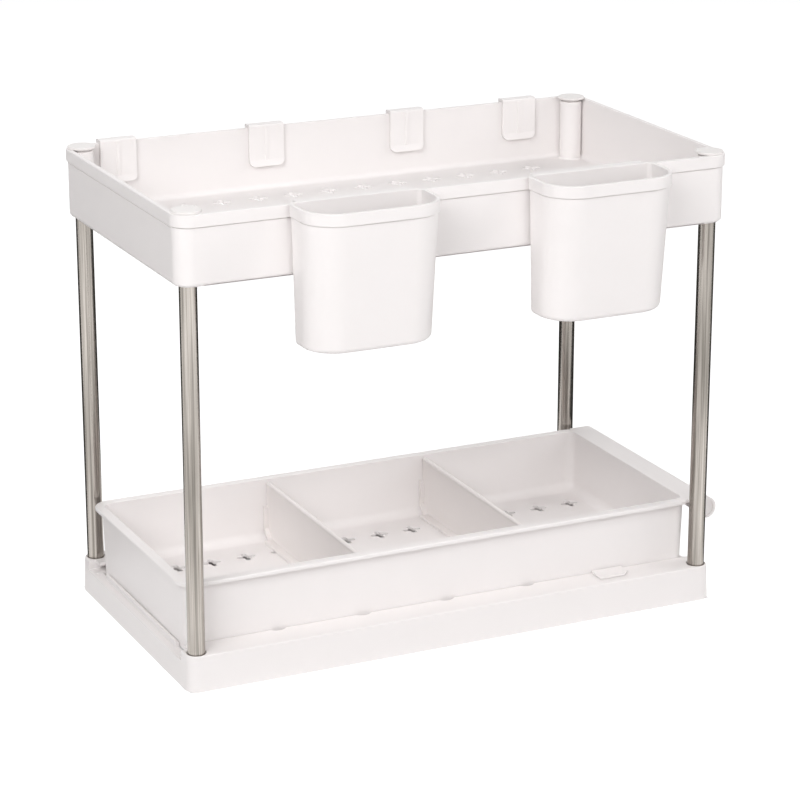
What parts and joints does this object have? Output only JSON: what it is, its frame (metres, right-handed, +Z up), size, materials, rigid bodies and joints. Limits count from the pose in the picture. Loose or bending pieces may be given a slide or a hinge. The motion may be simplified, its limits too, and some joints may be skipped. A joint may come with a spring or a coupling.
{
  "type": "under sink organizer",
  "caption": "Two-tier under sink organizer: a base with a pull-out divided drawer, tube posts, a top tray, hang-on cups and hang-on hooks.",
  "frame": {"origin": "on the resting plane, midway between the four tubes", "axes": "+Z up, +X along the long side towards the drawer's grip, -Y to the front, where the cups hang"},
  "size_m": [0.421, 0.2837, 0.3323],
  "materials": {
    "shell_plastic": "fine satin moulded",
    "drawer_plastic": "fine satin moulded",
    "divider_plastic": "fine satin moulded",
    "cap_plastic": "smooth satin moulded",
    "tube_steel": "brushed"
  },
  "bodies": {
    "frame": {"base_frame": "shell_plastic", "tube_front_left": "tube_steel", "tube_front_right": "tube_steel", "tube_back_left": "tube_steel", "tube_back_right": "tube_steel", "top_tray": "shell_plastic", "cap_front_left": "cap_plastic", "cap_front_right": "cap_plastic", "cap_back_left": "cap_plastic", "cap_back_right": "cap_plastic", "stop_front": "shell_plastic", "stop_back": "shell_plastic"},
    "drawer": {"drawer": "drawer_plastic"},
    "divider_left": {"divider_left": "divider_plastic"},
    "divider_right": {"divider_right": "divider_plastic"},
    "cup_left": {"cup_left": "shell_plastic"},
    "cup_right": {"cup_right": "shell_plastic"},
    "hook_1": {"hook_1": "shell_plastic"},
    "hook_2": {"hook_2": "shell_plastic"},
    "hook_3": {"hook_3": "shell_plastic"},
    "hook_4": {"hook_4": "shell_plastic"}
  },
  "joints": [
    {"name": "drawer_slide", "type": "slide", "parent": "frame", "child": "drawer", "axis": [1, 0, 0], "range_m": [0, 0.26]},
    {"name": "divider_left_lift", "type": "slide", "parent": "drawer", "child": "divider_left", "axis": [0, 0, 1], "range_m": [0, 0.05]},
    {"name": "divider_right_lift", "type": "slide", "parent": "drawer", "child": "divider_right", "axis": [0, 0, 1], "range_m": [0, 0.05]},
    {"name": "cup_left_lift", "type": "slide", "parent": "frame", "child": "cup_left", "axis": [0, 0, 1], "range_m": [0, 0.03]},
    {"name": "cup_right_lift", "type": "slide", "parent": "frame", "child": "cup_right", "axis": [0, 0, 1], "range_m": [0, 0.03]},
    {"name": "hook_1_lift", "type": "slide", "parent": "frame", "child": "hook_1", "axis": [0, 0, 1], "range_m": [0, 0.035]},
    {"name": "hook_2_lift", "type": "slide", "parent": "frame", "child": "hook_2", "axis": [0, 0, 1], "range_m": [0, 0.035]},
    {"name": "hook_3_lift", "type": "slide", "parent": "frame", "child": "hook_3", "axis": [0, 0, 1], "range_m": [0, 0.035]},
    {"name": "hook_4_lift", "type": "slide", "parent": "frame", "child": "hook_4", "axis": [0, 0, 1], "range_m": [0, 0.035]}
  ]
}
